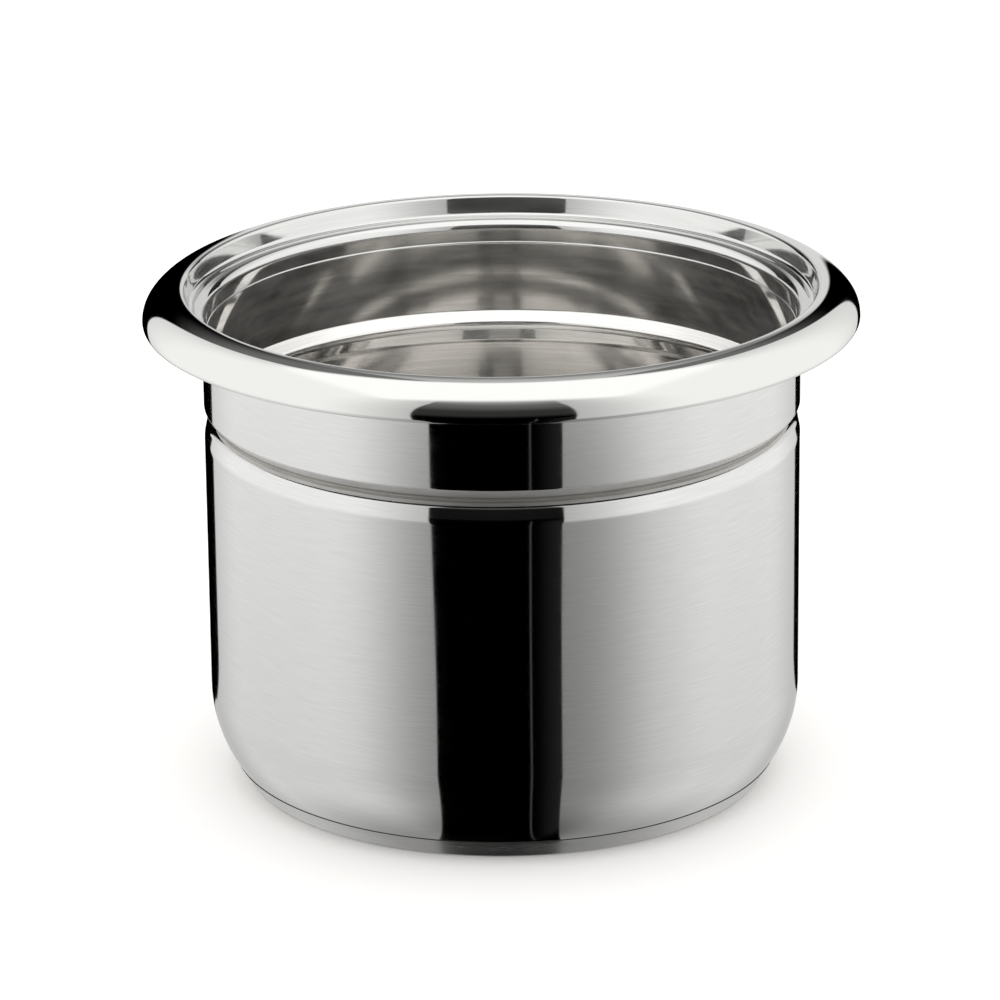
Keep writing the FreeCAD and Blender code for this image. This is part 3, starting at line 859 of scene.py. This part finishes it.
def light_tent():
    """Round tent: two wide softboxes, open and dark behind the camera and behind the kettle."""
    bpy.ops.mesh.primitive_uv_sphere_add(segments=96, ring_count=48, radius=TENT_RADIUS,
                                         location=(0, 0, 0))
    tent = bpy.context.active_object
    tent.name = "LightTent"
    bpy.ops.transform.translate(value=(0, 0, TENT_HEIGHT))
    bpy.ops.object.transform_apply(location=True, rotation=False, scale=False)
    bpy.ops.object.shade_smooth()
    material, tree, lamp = glow_material("Tent cloth")
    look = tent_look(tree)
    left_edge = gap_edge(tree, look, low_edge=23.9, level_edge=25.9,
                         under_reach=0.172, level_reach=0.389)
    right_edge = gap_edge(tree, look, low_edge=19.5, level_edge=21.0,
                          under_reach=0.142, level_reach=0.325)
    behind = rise(tree, look.turn, 100, 130)
    gap_glow = blend(tree, behind, front_glow(tree, look), back_glow(tree, look))
    gap_glow = calculate(tree, "ADD", gap_glow, slit_glow(tree, look, right_edge))
    boxes = softboxes(tree, look, left_edge, right_edge)
    tree.links.new(blend(tree, boxes, gap_glow, softbox_glow(tree, look)), lamp.inputs["Strength"])
    show(tree, lamp.outputs[0])
    show_in_mirror_only(tent, material)


def overhead_softbox():
    """Softbox above the mouth that fades out at its edges."""
    bpy.ops.mesh.primitive_plane_add(size=CARD_SIZE, location=(0, 0, 0))
    card = bpy.context.active_object
    card.name = "OverheadSoftbox"
    bpy.ops.transform.translate(value=(0, -CARD_FORWARD, CARD_HEIGHT))
    bpy.ops.object.transform_apply(location=True, rotation=False, scale=False)
    material, tree, lamp = glow_material("Overhead diffuser")
    lamp.inputs["Strength"].default_value = CARD_GLOW
    place = add(tree, "ShaderNodeTexCoord").outputs["Object"]
    axes = add(tree, "ShaderNodeSeparateXYZ", {0: place})
    beside = calculate(tree, "ABSOLUTE", axes.outputs["X"])
    ahead = calculate(tree, "ABSOLUTE", calculate(tree, "ADD", axes.outputs["Y"], CARD_FORWARD))
    cloth = calculate(tree, "MULTIPLY",
                      rise(tree, beside, 280 * MM, 390 * MM, bottom=1.0, top=0.0),
                      rise(tree, ahead, 240 * MM, 350 * MM, bottom=1.0, top=0.0))
    clear = add(tree, "ShaderNodeBsdfTransparent")
    fade = add(tree, "ShaderNodeMixShader", {0: cloth, 1: clear.outputs[0], 2: lamp.outputs[0]})
    show(tree, fade.outputs[0])
    show_in_mirror_only(card, material)


def place_camera(stage):
    """Camera at the angle of the photograph."""
    reach = stage.distance * math.cos(stage.elevation)
    above = stage.target_height + stage.distance * math.sin(stage.elevation)
    bpy.ops.object.camera_add(location=(0, -reach, above))
    camera = bpy.context.active_object
    camera.name = "Camera"
    camera.rotation_mode = "ZXY"
    camera.rotation_euler = (math.pi / 2 - stage.elevation, 0, stage.roll)
    camera.data.sensor_width = SENSOR_WIDTH
    camera.data.lens = stage.focal_length
    camera.data.shift_x = stage.side_shift
    bpy.context.scene.camera = camera


class KETTLE_OT_stage(bpy.types.Operator):
    """Pale table, soft studio light and the camera"""

    bl_idname = "kettle.stage"
    bl_label = "Set up stage"

    def execute(self, context):
        stage = context.scene.kettle_stage
        pale_table(context.scene.kettle_colours.floor)
        table_light(stage.floor_light)
        white_room()
        light_tent()
        overhead_softbox()
        place_camera(stage)
        context.scene.view_settings.view_transform = "Standard"
        return {"FINISHED"}


class KETTLE_PT_panel(bpy.types.Panel):
    """Sizes, colours and build steps of the kettle"""

    bl_idname = "KETTLE_PT_panel"
    bl_label = "Soup kettle"
    bl_space_type = "VIEW_3D"
    bl_region_type = "UI"
    bl_category = "Kettle"

    def draw(self, context):
        for group in (context.scene.kettle_sizes, context.scene.kettle_colours,
                      context.scene.kettle_stage):
            column = self.layout.column(align=True)
            for name in group.__annotations__:
                column.prop(group, name)
        for step in STEPS:
            self.layout.operator(step.bl_idname)


GROUPS = {"kettle_sizes": KettleSizes, "kettle_colours": KettleColours, "kettle_stage": KettleStage}
STEPS = (KETTLE_OT_shell, KETTLE_OT_collar, KETTLE_OT_base, KETTLE_OT_stage)


def register():
    for each in (*GROUPS.values(), *STEPS, KETTLE_PT_panel):
        bpy.utils.register_class(each)
    for name, group in GROUPS.items():
        setattr(bpy.types.Scene, name, bpy.props.PointerProperty(type=group))


def unregister():
    for name in GROUPS:
        delattr(bpy.types.Scene, name)
    for each in (KETTLE_PT_panel, *reversed(STEPS), *GROUPS.values()):
        bpy.utils.unregister_class(each)


def main():
    register()
    bpy.ops.kettle.shell()
    bpy.ops.kettle.collar()
    bpy.ops.kettle.base()
    bpy.ops.kettle.stage()


if __name__ == "__main__":
    main()
